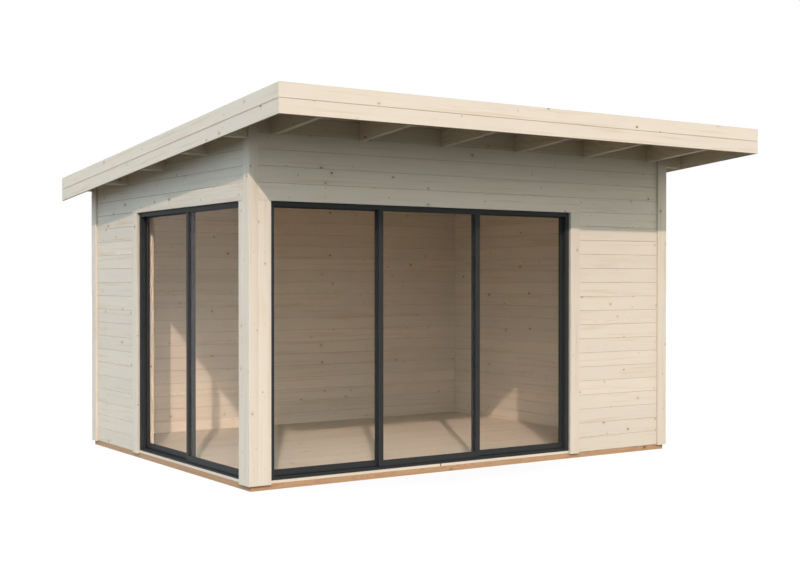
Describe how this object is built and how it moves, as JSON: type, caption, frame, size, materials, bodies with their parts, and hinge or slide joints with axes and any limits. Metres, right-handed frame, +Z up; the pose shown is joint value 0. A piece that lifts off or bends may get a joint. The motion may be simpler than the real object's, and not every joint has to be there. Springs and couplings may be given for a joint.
{
  "type": "wooden shed",
  "caption": "Pent-roof garden cabin of spruce boards with a deep front overhang, and sliding glazed units in dark aluminium frames round one corner.",
  "frame": {"origin": "on the ground, under the middle of the base", "axes": "+X along the front to the right, +Y to the back, +Z up; the front faces -Y"},
  "size_m": [4.61, 4.214, 2.8],
  "materials": {
    "spruce": "planed, untreated",
    "floor_boards": "planed, untreated",
    "impregnated_timber": "brown impregnated",
    "anthracite_aluminium": "satin powder coat",
    "glass": "clear, lightly toned",
    "roofing_felt": "mineral surface"
  },
  "bodies": {
    "cabin": {"back_fascia": "spruce", "back_left_corner_trim": "spruce", "back_right_corner_trim": "spruce", "back_wall": "spruce", "base_back_beam": "impregnated_timber", "base_front_beam": "impregnated_timber", "base_side_beams": "impregnated_timber", "corner_post": "spruce", "door_linings": "spruce", "door_trims": "spruce", "floor_boards": "floor_boards", "floor_joists": "impregnated_timber", "front_fascia": "spruce", "front_left_corner_trim": "spruce", "front_left_glass": "glass", "front_left_panel": "anthracite_aluminium", "front_lintel_wall": "spruce", "front_right_corner_trim": "spruce", "front_right_glass": "glass", "front_right_panel": "anthracite_aluminium", "front_right_wall": "spruce", "front_threshold": "spruce", "front_unit_head": "anthracite_aluminium", "front_unit_jambs": "anthracite_aluminium", "front_unit_sill": "anthracite_aluminium", "left_fascia": "spruce", "left_lintel_wall": "spruce", "left_lookouts": "spruce", "left_rear_glass": "glass", "left_rear_panel": "anthracite_aluminium", "left_rear_wall": "spruce", "left_threshold": "spruce", "left_unit_head": "anthracite_aluminium", "left_unit_jambs": "anthracite_aluminium", "left_unit_sill": "anthracite_aluminium", "rafters": "spruce", "right_fascia": "spruce", "right_lookouts": "spruce", "right_wall": "spruce", "roof_covering": "roofing_felt", "roof_deck": "spruce"},
    "front_sliding_panel": {"front_middle_panel": "anthracite_aluminium", "front_middle_glass": "glass"},
    "left_sliding_panel": {"left_front_panel": "anthracite_aluminium", "left_front_glass": "glass"}
  },
  "joints": [
    {"name": "front_panel_slide", "type": "slide", "parent": "cabin", "child": "front_sliding_panel", "axis": [1, 0, 0], "range_m": [0, 0.89]},
    {"name": "left_panel_slide", "type": "slide", "parent": "cabin", "child": "left_sliding_panel", "axis": [0, 1, 0], "range_m": [0, 0.89]}
  ]
}
